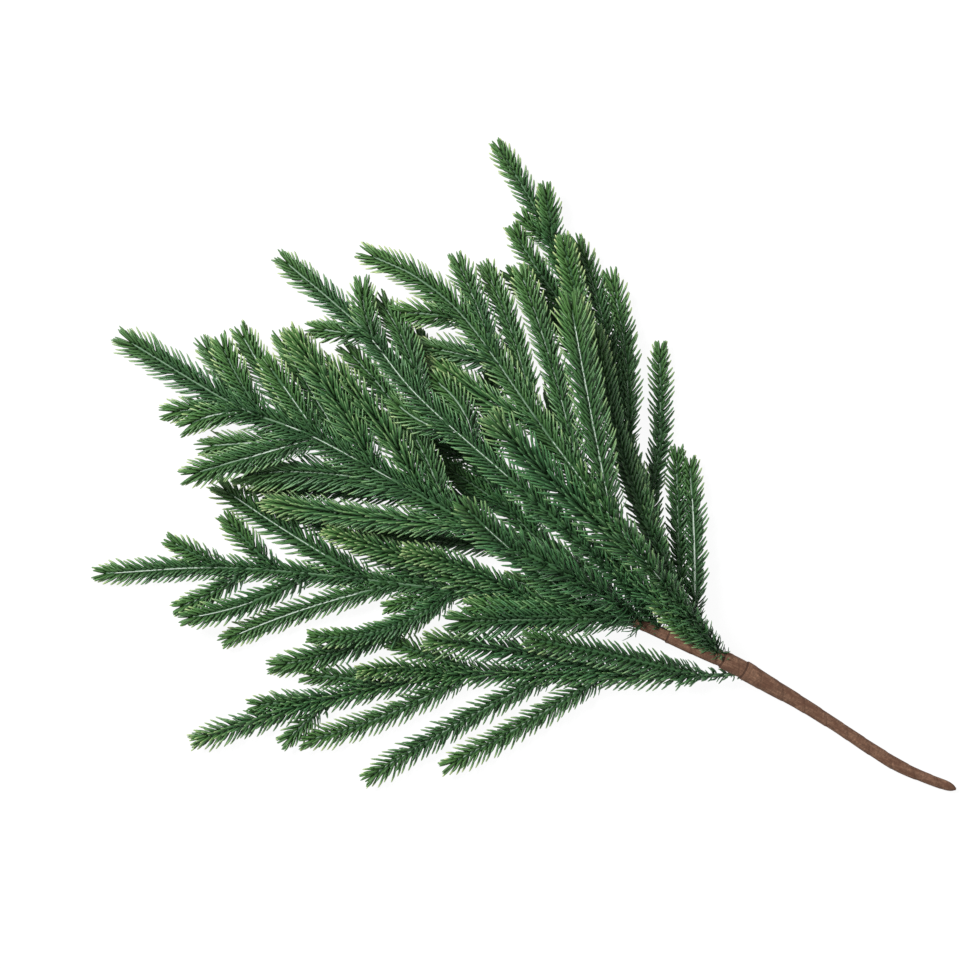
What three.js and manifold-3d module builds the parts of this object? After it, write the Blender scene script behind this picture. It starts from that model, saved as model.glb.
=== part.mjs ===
// A fir branch lying on a table: a tape-wrapped stem that carries eight flat sprays of needle twigs.
// Millimetres, +Z up, +Y away from the viewer, the stem's cut end to the right and near.
import * as THREE from "three";
import { mergeVertices } from "three/addons/utils/BufferGeometryUtils.js";
import Module from "manifold-3d";

// Clear air between one piece and the next
const GAP = 0.4;
// Sides of a twig's outline, and of the stem's
const TWIG_SIDES = 6;
const STEM_SIDES = 12;
// Needles stand in tiers, each opening toward the tip of its twig
const TIER_LENGTH = 40;
const TIER_WAIST = 0.72;
const TIER_LEDGE = 1.5;
// Needles at a twig's end reach past its wood
const TIP_REACH = 8.5;
const TIP_GIRTH = 0.86;
// The wood itself, bare where a twig leaves its spine
const WOOD_RADIUS = 2;
// How far from its fork a twig, and from the stem a spine, is at its full girth
const TWIG_SWELL = 22;
const SPINE_SWELL = 50;
const SPINE_TIER_LENGTH = 46;
// The cut end's bevel, and how far along the stem a layer of tape takes to end
const CUT_BEVEL = 1.2;
const CUT_GIRTH = 0.8;
const TAPE_EDGE = 0.8;
// The far end of the stem comes to a point between its last sprays
const STEM_POINT = 2;
// A flat end rises by this much to its rim
const END_RISE = 0.01;
// Steps used to measure along each span of the stem
const SPAN_STEPS = 20;
const TABLE_DEPTH = 60;

const NEEDLE_GREEN = 0x2f6b35;
const TAPE_BROWN = 0x7a4a32;

// The stem from its cut end to where the last sprays leave it: x, y, z, radius,
// and the smaller radius past the edge of the tape's upper layer where one ends
const STEM = [
  [258, -195, 3.1, 3],
  [240, -188.2, 3.5, 3.3],
  [225, -181.2, 4.4, 3.9],
  [207, -170, 6, 3.8],
  [189, -158, 8.5, 3.7],
  [165, -142.8, 13, 4.3],
  [147, -132.4, 17, 5.2],
  [132, -123.5, 20, 6, 5.4],
  [119, -117, 23, 5.6, 4.7],
  [105, -111, 25.5, 4.6],
  [86, -102.6, 28.5, 4.3, 3.7],
  [66, -94, 31, 3.2],
];

// Each spray: needle girth, its spine from the stem to its tip, and the twigs that fork off it.
// A twig gives the share of the spine where it forks, its tip, how far it bows to its left,
// and its own girth where it is fuller; a tuft is a short twig that stays one piece with the spine.
const SPRAYS = {
  low: {
    girth: 9,
    spine: [
      [133, -125, 20], [112, -127, 14], [57, -127.5, 11], [-39, -127, 8], [-117, -141, 8], [-195, -165, 8],
    ],
    twigs: [
      { at: 0.261, tip: [-43.5, -180, 8], bow: 1.5 },
      { at: 0.355, tip: [-91, -187, 8], bow: -1.5 },
      { at: 0.507, tip: [-129, -166, 8], bow: 4 },
      { at: 0.645, tip: [-128.5, -127.5, 8], bow: -1 },
      { at: 0.517, tip: [-96, -124, 22], bow: -2, girth: 7.5 },
      { at: 0.202, tip: [-53, -106, 20], bow: -2, girth: 10.5 },
      { at: 0.083, tip: [6, -105, 30], bow: -1, girth: 9.5 },
    ],
    tufts: [
      { at: 0.478, tip: [-77, -108.5, 9], bow: 0 },
      { at: 0.768, tip: [-142, -164.5, 8], bow: 1 },
      { at: 0.753, tip: [-160, -145, 9], bow: 0 },
    ],
  },
  left: {
    girth: 8.3,
    spine: [[66, -93, 30], [40, -87, 25], [-33, -77, 17], [-117, -67, 10], [-186, -62, 8], [-253, -65.5, 7]],
    twigs: [
      { at: 0.62, tip: [-200, -91.5, 18], bow: 4 },
      { at: 0.445, tip: [-177, -104, 7], bow: -3 },
      { at: 0.505, tip: [-180, -15.5, 12], bow: 1.5, girth: 10.5 },
      { at: 0.345, tip: [-146.5, -120.5, 9], bow: 7, girth: 9.3 },
      { at: 0.345, tip: [-125, -103.5, 22], bow: 9, girth: 7 },
      { at: 0.26, tip: [-115, -41, 24], bow: -2 },
      { at: 0.202, tip: [-67, -52, 32], bow: -3 },
      { at: 0.377, tip: [-149, -22, 8], bow: -1.5, girth: 9.5 },
      { at: 0.076, tip: [-34, -27, 60], bow: 3, girth: 10 },
      { at: 0.015, tip: [-37, -94, 24], bow: 0, girth: 12 },
    ],
    tufts: [
      { at: 0.68, tip: [-177.5, -35.5, 10], bow: 0.5, girth: 9.3 },
      { at: 0.775, tip: [-211, -47.5, 9], bow: 0.5 },
      { at: 0.735, tip: [-206, -85, 7], bow: 2 },
      { at: 0.12, tip: [-30, -85, 22], bow: 1 },
      { at: 0.37, tip: [-80, -85, 12], bow: 1, girth: 7 },
      { at: 0.06, tip: [-6, -70, 14], bow: -1 },
    ],
  },
  upper_left: {
    girth: 9.3,
    spineGirth: 11,
    spine: [[72, -96, 31], [52, -80, 40], [-27, -38, 47], [-123, 15, 44], [-172, 35, 38], [-236, 73, 28]],
    twigs: [
      { at: 0.652, tip: [-187, 11.5, 32], bow: 0.5 },
      { at: 0.645, tip: [-197, -5, 40], bow: 0, girth: 10 },
      { at: 0.452, tip: [-165, -5.5, 28], bow: -5.5, girth: 11.5 },
      { at: 0.34, tip: [-150, -23, 22], bow: 2 },
      { at: 0.68, tip: [-168.5, 76, 28], bow: 0 },
      { at: 0.632, tip: [-152, 58, 44], bow: 0 },
      { at: 0.571, tip: [-144.5, 72.5, 26], bow: 1 },
      { at: 0.528, tip: [-136, 73, 46], bow: -2, girth: 10.5 },
      { at: 0.433, tip: [-115, 56.5, 40], bow: -4, girth: 10.5 },
      { at: 0.395, tip: [-104, 66, 25], bow: -7 },
    ],
    tufts: [
      { at: 0.775, tip: [-210, 32, 30], bow: -1 },
      { at: 0.745, tip: [-199, 25, 38], bow: -4 },
      { at: 0.77, tip: [-190, 68.5, 26], bow: -1 },
      { at: 0.737, tip: [-180, 69, 38], bow: 1.5 },
    ],
  },
  middle: {
    girth: 9,
    spine: [[82, -99, 30], [58, -70, 46], [3, -19, 58], [-63, 40, 54], [-97, 81, 44], [-142, 120.5, 32]],
    twigs: [
      { at: 0.745, tip: [-97, 103.5, 44], bow: 3, girth: 9.5 },
      { at: 0.636, tip: [-84, 95, 34], bow: -3, girth: 9.5 },
      { at: 0.545, tip: [-75, 35, 46], bow: 3 },
      { at: 0.504, tip: [-52, 49, 46], bow: -5 },
    ],
    tufts: [{ at: 0.79, tip: [-122, 81, 38], bow: 0 }],
  },
  front: {
    girth: 10,
    spine: [
      [119, -116, 24], [103, -96, 38], [57, -39, 60], [14, 17, 58],
      [-33, 84, 42], [-63, 111, 36], [-91, 125, 30],
    ],
    twigs: [
      { at: 0.7, tip: [-39, 119, 34], bow: -1, girth: 8.6 },
      { at: 0.687, tip: [-58, 70, 30], bow: -1 },
      { at: 0.55, tip: [-50.5, 60, 32], bow: 3 },
      { at: 0.582, tip: [-22, 115, 24], bow: -3, girth: 8.6 },
      { at: 0.44, tip: [-1, 112, 30], bow: -2.5, girth: 9 },
      { at: 0.345, tip: [28, 92, 52], bow: 0.5, girth: 12 },
      { at: 0.235, tip: [-15, 22, 74], bow: 2, girth: 12 },
      { at: 0.1, tip: [51, -53, 44], bow: 4 },
    ],
    tufts: [
      { at: 0.79, tip: [-72, 91, 36], bow: -1 },
      { at: 0.03, tip: [80, -83, 42], bow: 3, girth: 7 },
    ],
  },
  top: {
    girth: 8.3,
    spine: [
      [101, -107, 28], [91, -85, 34], [69, -15, 28], [39, 75, 16],
      [21, 123, 12], [6, 156, 10], [-14, 189.5, 8],
    ],
    twigs: [
      { at: 0.618, tip: [-4.5, 138.5, 10], bow: 2 },
      { at: 0.56, tip: [24, 131.5, 26], bow: 1 },
      { at: 0.445, tip: [33, 131.5, 8], bow: -5 },
      { at: 0.39, tip: [53, 110, 8], bow: -4.5, girth: 8.8 },
      { at: 0.17, tip: [43, 76, 34], bow: 5 },
    ],
    tufts: [
      { at: 0.781, tip: [13, 163, 16], bow: 0 },
      { at: 0.805, tip: [1, 148, 9], bow: 1 },
      { at: 0.5, tip: [-7, 113, 12], bow: -3 },
    ],
  },
  right: {
    girth: 8,
    spine: [[115, -114, 24], [101, -92, 21], [84, -66, 15], [76.5, -24, 9], [82, 16, 8], [82, 68, 7]],
    twigs: [{ at: 0.125, tip: [100, -2, 8], bow: -1.3, girth: 8.6 }],
    tufts: [{ at: 0.2, tip: [92, 5, 7], bow: 0 }],
  },
  under: {
    girth: 9,
    spine: [[64, -91, 29], [46, -70, 23], [4, -41, 16], [-35, 10, 9], [-64, 76, 8]],
    twigs: [
      { at: 0.293, tip: [-96, -40, 8], bow: 0 },
      { at: 0.426, tip: [-57, 3, 8], bow: -2 },
      { at: 0.473, tip: [-160, -13, 8], bow: -3 },
      { at: 0.628, tip: [-120, 35, 8], bow: -3 },
      { at: 0.36, tip: [22, 52, 8], bow: 3 },
      { at: 0.527, tip: [-18, 62, 8], bow: 3 },
    ],
    tufts: [],
  },
};

const wasm = await Module();
wasm.setup();

// A closed three.js geometry as a body that can be joined and cut
function body(geometry) {
  geometry.deleteAttribute("normal");
  geometry.deleteAttribute("uv");
  const welded = mergeVertices(geometry, 1e-3);
  const corners = Array.from(welded.index.array);
  const faces = [];
  for (let i = 0; i < corners.length; i += 3) {
    const [a, b, c] = corners.slice(i, i + 3);
    if (a !== b && b !== c && c !== a) faces.push(a, b, c);
  }
  const vertProperties = new Float32Array(welded.attributes.position.array);
  return new wasm.Manifold(new wasm.Mesh({ numProp: 3, vertProperties, triVerts: new Uint32Array(faces) }));
}

function mesh(solid, name, material) {
  const { vertProperties, triVerts } = solid.getMesh();
  const geometry = new THREE.BufferGeometry();
  geometry.setAttribute("position", new THREE.BufferAttribute(new Float32Array(vertProperties), 3));
  geometry.setIndex(new THREE.BufferAttribute(new Uint32Array(triVerts), 1));
  geometry.computeVertexNormals();
  const piece = new THREE.Mesh(geometry, material);
  piece.name = name;
  return piece;
}

// A turned form standing on the origin, laid along a curve: its height becomes the way along it
function bend(geometry, curve) {
  const length = curve.getLength();
  const place = geometry.attributes.position;
  const up = new THREE.Vector3(0, 0, 1);
  for (let i = 0; i < place.count; i += 1) {
    const along = Math.min(Math.max(place.getY(i) / length, 0), 1);
    const ahead = curve.getTangentAt(along);
    const side = new THREE.Vector3().crossVectors(ahead, up).normalize();
    const lift = new THREE.Vector3().crossVectors(side, ahead);
    const at = curve.getPointAt(along).addScaledVector(ahead, place.getY(i) - along * length);
    at.addScaledVector(side, place.getX(i)).addScaledVector(lift, place.getZ(i));
    place.setXYZ(i, at.x, at.y, at.z);
  }
  return geometry;
}

function turned(profile, sides) {
  const points = profile.map(([radius, height]) => new THREE.Vector2(radius, height));
  return new THREE.LatheGeometry(points, sides, Math.PI / sides);
}

// The outline of a twig's needles: tiers that flare toward the tip, drawn in to a point at the end
function brush(curve, girth, swell, tier) {
  const length = curve.getLength();
  const tiers = Math.max(2, Math.round(length / tier));
  const tiered = [[0, 0], [WOOD_RADIUS, END_RISE]];
  const plain = [[0, -GAP], [WOOD_RADIUS + GAP, -GAP + END_RISE]];
  for (let k = 1; k <= tiers; k += 1) {
    const height = (length * k) / tiers;
    const full = WOOD_RADIUS + (girth - WOOD_RADIUS) * Math.min(1, height / swell);
    const end = k === tiers ? TIP_GIRTH : 1;
    tiered.push([full * end, height]);
    plain.push([full * end + GAP, height + GAP]);
    if (k < tiers) tiered.push([full * TIER_WAIST, height + TIER_LEDGE]);
  }
  tiered.push([0, length + TIP_REACH]);
  plain.push([0, length + TIP_REACH + 2 * GAP]);
  return {
    form: body(bend(turned(tiered, TWIG_SIDES), curve)),
    room: body(bend(turned(plain, TWIG_SIDES), curve)),
  };
}

function spineCurve(points) {
  const knots = points.map(([x, y, z]) => new THREE.Vector3(x, y, z));
  return new THREE.CatmullRomCurve3(knots, false, "catmullrom", 0.5);
}

function twigCurve(spine, { at, tip, bow }) {
  const start = spine.getPointAt(at);
  const end = new THREE.Vector3(...tip);
  const flat = new THREE.Vector3(start.y - end.y, end.x - start.x, 0).normalize();
  const control = start.clone().lerp(end, 0.5).addScaledVector(flat, 2 * bow);
  return new THREE.QuadraticBezierCurve3(start, control, end);
}

// The stem is one closed tube whose radius follows its list
function stem() {
  const curve = spineCurve(STEM);
  const length = curve.getLength();
  const lengths = curve.getLengths(SPAN_STEPS * (STEM.length - 1));
  const ring = (grow) => {
    const profile = [[0, -grow], [STEM[0][3] * CUT_GIRTH + grow, -grow + END_RISE]];
    STEM.forEach(([, , , radius, inner], i) => {
      const height = i ? lengths[SPAN_STEPS * i] : CUT_BEVEL;
      profile.push([radius + grow, height]);
      if (inner) profile.push([inner + grow, height + TAPE_EDGE]);
    });
    profile.push([0, length + STEM_POINT + grow]);
    return profile;
  };
  return {
    form: body(bend(turned(ring(0), STEM_SIDES), curve)),
    room: body(bend(turned(ring(GAP), STEM_SIDES), curve)),
  };
}

const table = body(new THREE.BoxGeometry(800, 800, TABLE_DEPTH).translate(0, 0, -TABLE_DEPTH / 2));

function boxesMeet(a, b) {
  const p = a.boundingBox();
  const q = b.boundingBox();
  return [0, 1, 2].every((k) => p.min[k] < q.max[k] && q.min[k] < p.max[k]);
}

// Each piece gives way to those placed before it and lies flat on the table
const placed = [];
function place(name, { form, room }, material) {
  let rest = form;
  for (const other of placed) {
    if (boxesMeet(rest, other)) rest = rest.subtract(other);
  }
  if (rest.boundingBox().min[2] < 0) rest = rest.subtract(table);
  const shares = rest.decompose().sort((a, b) => b.volume() - a.volume());
  placed.push(room);
  return mesh(shares[0], name, material);
}

const needles = new THREE.MeshStandardMaterial({ name: "needles", color: NEEDLE_GREEN, roughness: 0.6 });
const tape = new THREE.MeshStandardMaterial({ name: "tape", color: TAPE_BROWN, roughness: 0.85 });

const branch = new THREE.Group();
branch.name = "fir_branch";
branch.add(place("stem", stem(), tape));

const curves = {};
for (const [spray, { girth, spineGirth, spine, tufts }] of Object.entries(SPRAYS)) {
  curves[spray] = spineCurve(spine);
  const whole = brush(curves[spray], spineGirth ?? girth, SPINE_SWELL, SPINE_TIER_LENGTH);
  for (const tuft of tufts) {
    const small = brush(twigCurve(curves[spray], tuft), tuft.girth ?? girth, TWIG_SWELL, TIER_LENGTH);
    whole.form = whole.form.add(small.form);
    whole.room = whole.room.add(small.room);
  }
  branch.add(place(`${spray}_spine`, whole, needles));
}
for (const [spray, { girth, twigs }] of Object.entries(SPRAYS)) {
  twigs.forEach((twig, i) => {
    const form = brush(twigCurve(curves[spray], twig), twig.girth ?? girth, TWIG_SWELL, TIER_LENGTH);
    branch.add(place(`${spray}_twig_${i + 1}`, form, needles));
  });
}

export default branch;
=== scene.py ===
"""A fir branch lying on a pale table: a tape-wrapped stem and eight sprays of twigs set with needles.

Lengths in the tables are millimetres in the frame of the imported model, and become metres in the meshes.
"""

import math
from typing import NamedTuple

import bpy
import numpy as np
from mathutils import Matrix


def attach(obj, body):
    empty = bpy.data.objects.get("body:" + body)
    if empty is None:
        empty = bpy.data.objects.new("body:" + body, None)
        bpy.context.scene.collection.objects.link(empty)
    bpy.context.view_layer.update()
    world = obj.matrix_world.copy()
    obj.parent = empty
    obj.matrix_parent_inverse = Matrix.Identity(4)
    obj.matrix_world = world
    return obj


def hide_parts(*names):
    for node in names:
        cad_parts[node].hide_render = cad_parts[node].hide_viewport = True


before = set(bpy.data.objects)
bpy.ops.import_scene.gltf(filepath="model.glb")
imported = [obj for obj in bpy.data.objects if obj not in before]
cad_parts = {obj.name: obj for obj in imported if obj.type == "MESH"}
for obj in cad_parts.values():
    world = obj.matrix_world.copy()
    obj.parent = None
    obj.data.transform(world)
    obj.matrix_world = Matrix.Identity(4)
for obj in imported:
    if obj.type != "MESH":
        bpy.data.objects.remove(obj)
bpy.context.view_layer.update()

bl_info = {
    "name": "Fir Branch",
    "version": (1, 0, 0),
    "blender": (4, 5, 0),
    "location": "View3D > Sidebar > Fir Branch",
    "description": "Dresses the packed fir branch with needles, bark tape, a table and studio light",
    "category": "Object",
}

MM = 0.001
MAP_NAME = "OFBake"

# The stem from its cut end to where the last sprays leave it: x, y, z, radius,
# and the radius past the edge of the tape's upper layer where one ends
STEM = np.array([
    (258, -195, 3.1, 3, 3),
    (240, -188.2, 3.5, 3.3, 3.3),
    (225, -181.2, 4.4, 3.9, 3.9),
    (207, -170, 6, 3.8, 3.8),
    (189, -158, 8.5, 3.7, 3.7),
    (165, -142.8, 13, 4.3, 4.3),
    (147, -132.4, 17, 5.2, 5.2),
    (132, -123.5, 20, 6, 5.4),
    (119, -117, 23, 5.6, 4.7),
    (105, -111, 25.5, 4.6, 4.6),
    (86, -102.6, 28.5, 4.3, 3.7),
    (66, -94, 31, 3.2, 3.2),
])

# Each spray: needle girth, the spine from the stem to its tip, and its twigs and tufts, each one as
# (share of the spine where it forks, tip x, y, z, bow to its left, girth where it is its own)
SPRAYS = {
    "low": {
        "girth": 9,
        "spine": [
            (133, -125, 20), (112, -127, 14), (57, -127.5, 11),
            (-39, -127, 8), (-117, -141, 8), (-195, -165, 8),
        ],
        "twigs": [
            (0.261, -43.5, -180, 8, 1.5),
            (0.355, -91, -187, 8, -1.5),
            (0.507, -129, -166, 8, 4),
            (0.645, -128.5, -127.5, 8, -1),
            (0.517, -96, -124, 22, -2, 7.5),
            (0.202, -53, -106, 20, -2, 10.5),
            (0.083, 6, -105, 30, -1, 9.5),
        ],
        "tufts": [
            (0.478, -77, -108.5, 9, 0),
            (0.768, -142, -164.5, 8, 1),
            (0.753, -160, -145, 9, 0),
        ],
    },
    "left": {
        "girth": 8.3,
        "spine": [
            (66, -93, 30), (40, -87, 25), (-33, -77, 17), (-117, -67, 10), (-186, -62, 8), (-253, -65.5, 7),
        ],
        "twigs": [
            (0.62, -200, -91.5, 18, 4),
            (0.445, -177, -104, 7, -3),
            (0.505, -180, -15.5, 12, 1.5, 10.5),
            (0.345, -146.5, -120.5, 9, 7, 9.3),
            (0.345, -125, -103.5, 22, 9, 7),
            (0.26, -115, -41, 24, -2),
            (0.202, -67, -52, 32, -3),
            (0.377, -149, -22, 8, -1.5, 9.5),
            (0.076, -34, -27, 60, 3, 10),
            (0.015, -37, -94, 24, 0, 12),
        ],
        "tufts": [
            (0.68, -177.5, -35.5, 10, 0.5, 9.3),
            (0.775, -211, -47.5, 9, 0.5),
            (0.735, -206, -85, 7, 2),
            (0.12, -30, -85, 22, 1),
            (0.37, -80, -85, 12, 1, 7),
            (0.06, -6, -70, 14, -1),
        ],
    },
    "upper_left": {
        "girth": 9.3,
        "spine_girth": 11,
        "spine": [
            (72, -96, 31), (52, -80, 40), (-27, -38, 47), (-123, 15, 44), (-172, 35, 38), (-236, 73, 28),
        ],
        "twigs": [
            (0.652, -187, 11.5, 32, 0.5),
            (0.645, -197, -5, 40, 0, 10),
            (0.452, -165, -5.5, 28, -5.5, 11.5),
            (0.34, -150, -23, 22, 2),
            (0.68, -168.5, 76, 28, 0),
            (0.632, -152, 58, 44, 0),
            (0.571, -144.5, 72.5, 26, 1),
            (0.528, -136, 73, 46, -2, 10.5),
            (0.433, -115, 56.5, 40, -4, 10.5),
            (0.395, -104, 66, 25, -7),
        ],
        "tufts": [
            (0.775, -210, 32, 30, -1),
            (0.745, -199, 25, 38, -4),
            (0.77, -190, 68.5, 26, -1),
            (0.737, -180, 69, 38, 1.5),
        ],
    },
    "middle": {
        "girth": 9,
        "spine": [
            (82, -99, 30), (58, -70, 46), (3, -19, 58), (-63, 40, 54), (-97, 81, 44), (-142, 120.5, 32),
        ],
        "twigs": [
            (0.745, -97, 103.5, 44, 3, 9.5),
            (0.636, -84, 95, 34, -3, 9.5),
            (0.545, -75, 35, 46, 3),
            (0.504, -52, 49, 46, -5),
        ],
        "tufts": [(0.79, -122, 81, 38, 0)],
    },
    "front": {
        "girth": 10,
        "spine": [
            (119, -116, 24), (103, -96, 38), (57, -39, 60), (14, 17, 58),
            (-33, 84, 42), (-63, 111, 36), (-91, 125, 30),
        ],
        "twigs": [
            (0.7, -39, 119, 34, -1, 8.6),
            (0.687, -58, 70, 30, -1),
            (0.55, -50.5, 60, 32, 3),
            (0.582, -22, 115, 24, -3, 8.6),
            (0.44, -1, 112, 30, -2.5, 9),
            (0.345, 28, 92, 52, 0.5, 12),
            (0.235, -15, 22, 74, 2, 12),
            (0.1, 51, -53, 44, 4),
        ],
        "tufts": [
            (0.79, -72, 91, 36, -1),
            (0.03, 80, -83, 42, 3, 7),
        ],
    },
    "top": {
        "girth": 8.3,
        "spine": [
            (101, -107, 28), (91, -85, 34), (69, -15, 28), (39, 75, 16),
            (21, 123, 12), (6, 156, 10), (-14, 189.5, 8),
        ],
        "twigs": [
            (0.618, -4.5, 138.5, 10, 2),
            (0.56, 24, 131.5, 26, 1),
            (0.445, 33, 131.5, 8, -5),
            (0.39, 53, 110, 8, -4.5, 8.8),
            (0.17, 43, 76, 34, 5),
        ],
        "tufts": [
            (0.781, 13, 163, 16, 0),
            (0.805, 1, 148, 9, 1),
            (0.5, -7, 113, 12, -3),
        ],
    },
    "right": {
        "girth": 8,
        "spine": [
            (115, -114, 24), (101, -92, 21), (84, -66, 15), (76.5, -24, 9), (82, 16, 8), (82, 68, 7),
        ],
        "twigs": [(0.125, 100, -2, 8, -1.3, 8.6)],
        "tufts": [(0.2, 92, 5, 7, 0)],
    },
    "under": {
        "girth": 9,
        "spine": [(64, -91, 29), (46, -70, 23), (4, -41, 16), (-35, 10, 9), (-64, 76, 8)],
        "twigs": [
            (0.293, -96, -40, 8, 0),
            (0.426, -57, 3, 8, -2),
            (0.473, -160, -13, 8, -3),
            (0.628, -120, 35, 8, -3),
            (0.36, 22, 52, 8, 3),
            (0.527, -18, 62, 8, 3),
        ],
        "tufts": [],
    },
}

# Twigs whose pale rib shows between their needles: the shares of the twig where it starts and ends
RIBS = {
    "left_spine": (0.79, 0.985), "left_twig_1": (0.5, 0.95), "left_twig_2": (0.25, 0.95),
    "left_twig_3": (0.3, 0.94), "left_twig_9": (0.12, 0.86), "upper_left_spine": (0.5, 0.7),
    "upper_left_tuft_2": (0.1, 0.8), "upper_left_twig_1": (0.25, 0.7), "upper_left_twig_2": (0, 0.6),
    "upper_left_twig_5": (0.3, 0.8), "upper_left_twig_6": (0.3, 0.75), "middle_spine": (0.42, 0.8),
    "middle_twig_3": (0, 0.5), "middle_twig_4": (0, 0.4), "front_spine": (0.2, 0.52),
    "front_twig_6": (0.1, 0.92), "right_twig_1": (0.05, 0.8),
}
# Twigs whose needles close over the top
CLOSED = {
    "front_twig_7", "front_twig_3", "upper_left_twig_8", "upper_left_twig_9", "low_twig_5", "low_twig_6",
    "left_twig_6", "left_twig_7", "low_spine", "front_twig_8", "upper_left_twig_4",
}
# How much younger and yellower a twig's needles are than the rest; a negative value makes them older and
# darker.
# Some darker values, such as those of under_spine beneath the other sprays and of low_twig_5, are painted
# shade
FRESH_AND_SHADE = {
    "low_twig_3": 0.3, "left_twig_6": 0.12, "upper_left_twig_7": 0.14, "top_twig_2": 0.2, "top_twig_4": 0.1,
    "front_spine": 0.28, "front_twig_7": -0.3, "front_twig_6": 0.1, "low_twig_5": -0.15, "low_twig_6": 0.06,
    "low_twig_7": -0.15, "upper_left_twig_9": -0.14, "left_twig_8": -0.14, "left_twig_10": -0.3,
    "under_spine": -0.2, "top_twig_1": -0.05, "low_twig_1": 0.24, "low_twig_2": -0.04,
    "front_twig_5": 0.1, "upper_left_tuft_3": -0.15, "right_tuft_1": -0.18, "top_tuft_3": -0.2,
    "middle_twig_2": -0.05, "front_twig_8": -0.2, "left_twig_9": -0.25, "upper_left_twig_8": -0.1,
}


class FirNeedles(bpy.types.PropertyGroup):
    """The needles and the wood that carries them"""

    pitch: bpy.props.FloatProperty(
        name="Pitch", description="Way along a twig from one ring of needles to the next",
        default=3.6 * MM, min=1 * MM, unit="LENGTH")
    width: bpy.props.FloatProperty(
        name="Width", description="Widest part of a needle", default=1.7 * MM, unit="LENGTH")
    thickness: bpy.props.FloatProperty(
        name="Thickness", description="Thickest part of a needle", default=0.85 * MM, unit="LENGTH")
    opening: bpy.props.FloatProperty(
        name="Opening", description="Angle at which a needle leaves its twig",
        default=math.radians(48), subtype="ANGLE")
    closing: bpy.props.FloatProperty(
        name="Closing", description="Angle between a needle's tip and its twig",
        default=math.radians(27), subtype="ANGLE")
    reach: bpy.props.FloatProperty(
        name="Reach", description="How far needles reach toward the outline of their twig",
        default=0.97, subtype="FACTOR")
    wood: bpy.props.FloatProperty(
        name="Wood", description="Radius of a twig under its needles", default=1.9 * MM, unit="LENGTH")
    rib: bpy.props.FloatProperty(
        name="Rib", description="Radius of the pale rib on top of a twig", default=0.29 * MM, unit="LENGTH")
    seed: bpy.props.IntProperty(
        name="Seed", description="Changes how the needles differ from one another", default=7)
    old_green: bpy.props.FloatVectorProperty(
        name="Old green", description="Middle of an old needle", subtype="COLOR", size=3,
        min=0, max=1, default=(0.023, 0.079, 0.027))
    young_green: bpy.props.FloatVectorProperty(
        name="Young green", description="Middle of a young needle", subtype="COLOR", size=3,
        min=0, max=1, default=(0.075, 0.19, 0.045))
    young_tip: bpy.props.FloatVectorProperty(
        name="Young tip", description="Tip of a young needle", subtype="COLOR", size=3,
        min=0, max=1, default=(0.48, 0.56, 0.25))
    rib_colour: bpy.props.FloatVectorProperty(
        name="Rib colour", description="Pale rib along a twig", subtype="COLOR", size=3,
        min=0, max=1, default=(0.4, 0.47, 0.4))


class FirTape(bpy.types.PropertyGroup):
    """The tape wound round the stem"""

    turns: bpy.props.IntProperty(name="Turns", description="Turns of the tape round the stem", default=14)
    edge: bpy.props.FloatProperty(
        name="Edge", description="How far the tape's edge stands proud", default=0.2 * MM, unit="LENGTH")
    brown: bpy.props.FloatVectorProperty(
        name="Brown", description="Middle brown of the tape", subtype="COLOR", size=3,
        min=0, max=1, default=(0.15, 0.082, 0.052))
    # Dark brown is also the base of the painted shade and painted shadow lines on the tape
    dark_brown: bpy.props.FloatVectorProperty(
        name="Dark brown", description="Blotches of the tape", subtype="COLOR", size=3,
        min=0, max=1, default=(0.095, 0.044, 0.027))


class FirStage(bpy.types.PropertyGroup):
    """The table, the light and the camera"""

    view_width: bpy.props.FloatProperty(
        name="View width", description="Width of the picture where the branch lies",
        default=581.4 * MM, unit="LENGTH")
    lens: bpy.props.FloatProperty(
        name="Lens", description="Focal length in millimetres", default=180.0)
    table: bpy.props.FloatVectorProperty(
        name="Table", description="Colour of the table", subtype="COLOR", size=3,
        min=0, max=1, default=(0.08, 0.08, 0.08))
    table_glow: bpy.props.FloatProperty(
        name="Table glow", description="Light from the table, as from a light box", default=0.935)
    ambient: bpy.props.FloatProperty(
        name="Ambient", description="Strength of the light from all round", default=0.28)
    key: bpy.props.FloatProperty(
        name="Key", description="Power of the main lamp, at the upper left", default=76.0, unit="POWER")
    fill: bpy.props.FloatProperty(
        name="Fill", description="Power of the lamp opposite", default=8.0, unit="POWER")


class Wire:
    """A shader socket that Python arithmetic works on, each step adding a Math node."""

    def __init__(self, finish, socket):
        self.finish = finish
        self.socket = socket

    def __add__(self, other):
        return self.finish.math("ADD", self, other)

    def __sub__(self, other):
        return self.finish.math("SUBTRACT", self, other)

    def __rsub__(self, other):
        return self.finish.math("SUBTRACT", other, self)

    def __mul__(self, other):
        return self.finish.math("MULTIPLY", self, other)

    def __gt__(self, other):
        return self.finish.math("GREATER_THAN", self, other)

    __radd__ = __add__
    __rmul__ = __mul__


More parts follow.
